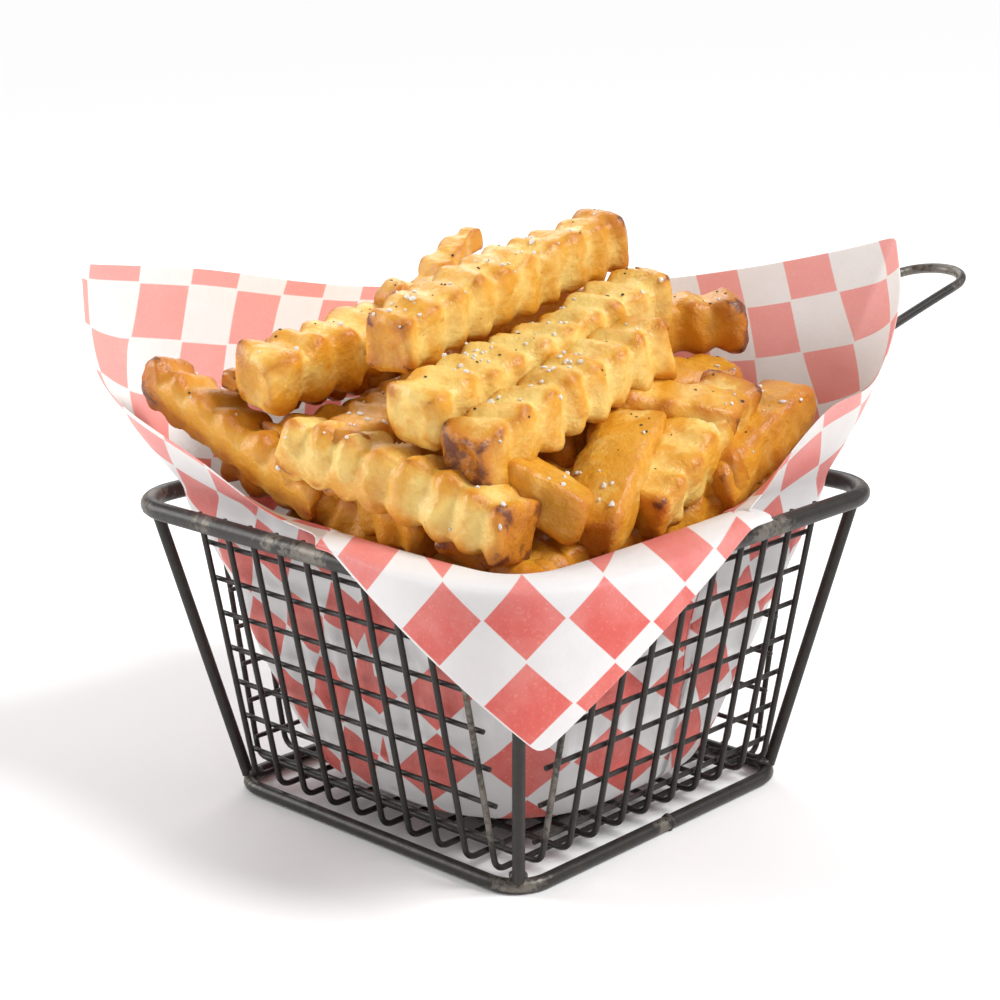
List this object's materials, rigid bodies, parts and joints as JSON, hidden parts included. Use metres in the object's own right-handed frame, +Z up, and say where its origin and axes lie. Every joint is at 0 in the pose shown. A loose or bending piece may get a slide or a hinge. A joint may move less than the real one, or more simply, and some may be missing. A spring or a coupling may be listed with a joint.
{
  "type": "french fries in a wire basket",
  "caption": "Square wire serving basket with a loop handle, lined with checked paper and heaped with crinkle-cut french fries.",
  "frame": {"origin": "middle of the bottom of the whole box, in the plane that the base ring stands on", "axes": "+Z up, +X from the basket towards the end of its handle, +Y to the left of the handle"},
  "size_m": [0.2352, 0.1328, 0.1243],
  "materials": {
    "thick_wire": "dark grey coat, worn to bare and brown metal at the corners and welds",
    "thin_wire": "satin dark grey coat",
    "checked_paper": "thin greaseproof paper with salmon red and off-white checks",
    "fried_potato": "fried potato, golden with ochre edges, slightly oily"
  },
  "bodies": {
    "root": {"rim": "thick_wire", "base_ring": "thick_wire", "handle": "thick_wire", "corner_post_1": "thin_wire", "corner_post_2": "thin_wire", "corner_post_3": "thin_wire", "corner_post_4": "thin_wire", "mesh_wire_x01": "thin_wire", "mesh_wire_x02": "thin_wire", "mesh_wire_x03": "thin_wire", "mesh_wire_x04": "thin_wire", "mesh_wire_x05": "thin_wire", "mesh_wire_x06": "thin_wire", "mesh_wire_x07": "thin_wire", "mesh_wire_x08": "thin_wire", "mesh_wire_x09": "thin_wire", "mesh_wire_x10": "thin_wire", "mesh_wire_y01": "thin_wire", "mesh_wire_y02": "thin_wire", "mesh_wire_y03": "thin_wire", "mesh_wire_y04": "thin_wire", "mesh_wire_y05": "thin_wire", "mesh_wire_y06": "thin_wire", "mesh_wire_y07": "thin_wire", "mesh_wire_y08": "thin_wire", "mesh_wire_y09": "thin_wire", "mesh_wire_y10": "thin_wire", "cross_wire_left_1": "thin_wire", "cross_wire_left_2": "thin_wire", "cross_wire_left_3": "thin_wire", "cross_wire_left_4": "thin_wire", "cross_wire_left_5": "thin_wire", "cross_wire_left_6": "thin_wire", "cross_wire_left_7": "thin_wire", "cross_wire_front_1": "thin_wire", "cross_wire_front_2": "thin_wire", "cross_wire_front_3": "thin_wire", "cross_wire_front_4": "thin_wire", "cross_wire_front_5": "thin_wire", "cross_wire_front_6": "thin_wire", "cross_wire_front_7": "thin_wire", "cross_wire_right_1": "thin_wire", "cross_wire_right_2": "thin_wire", "cross_wire_right_3": "thin_wire", "cross_wire_right_4": "thin_wire", "cross_wire_right_5": "thin_wire", "cross_wire_right_6": "thin_wire", "cross_wire_right_7": "thin_wire", "cross_wire_back_1": "thin_wire", "cross_wire_back_2": "thin_wire", "cross_wire_back_3": "thin_wire", "cross_wire_back_4": "thin_wire", "cross_wire_back_5": "thin_wire", "cross_wire_back_6": "thin_wire", "cross_wire_back_7": "thin_wire", "paper_liner": "checked_paper", "fries": "fried_potato"}
  },
  "joints": []
}
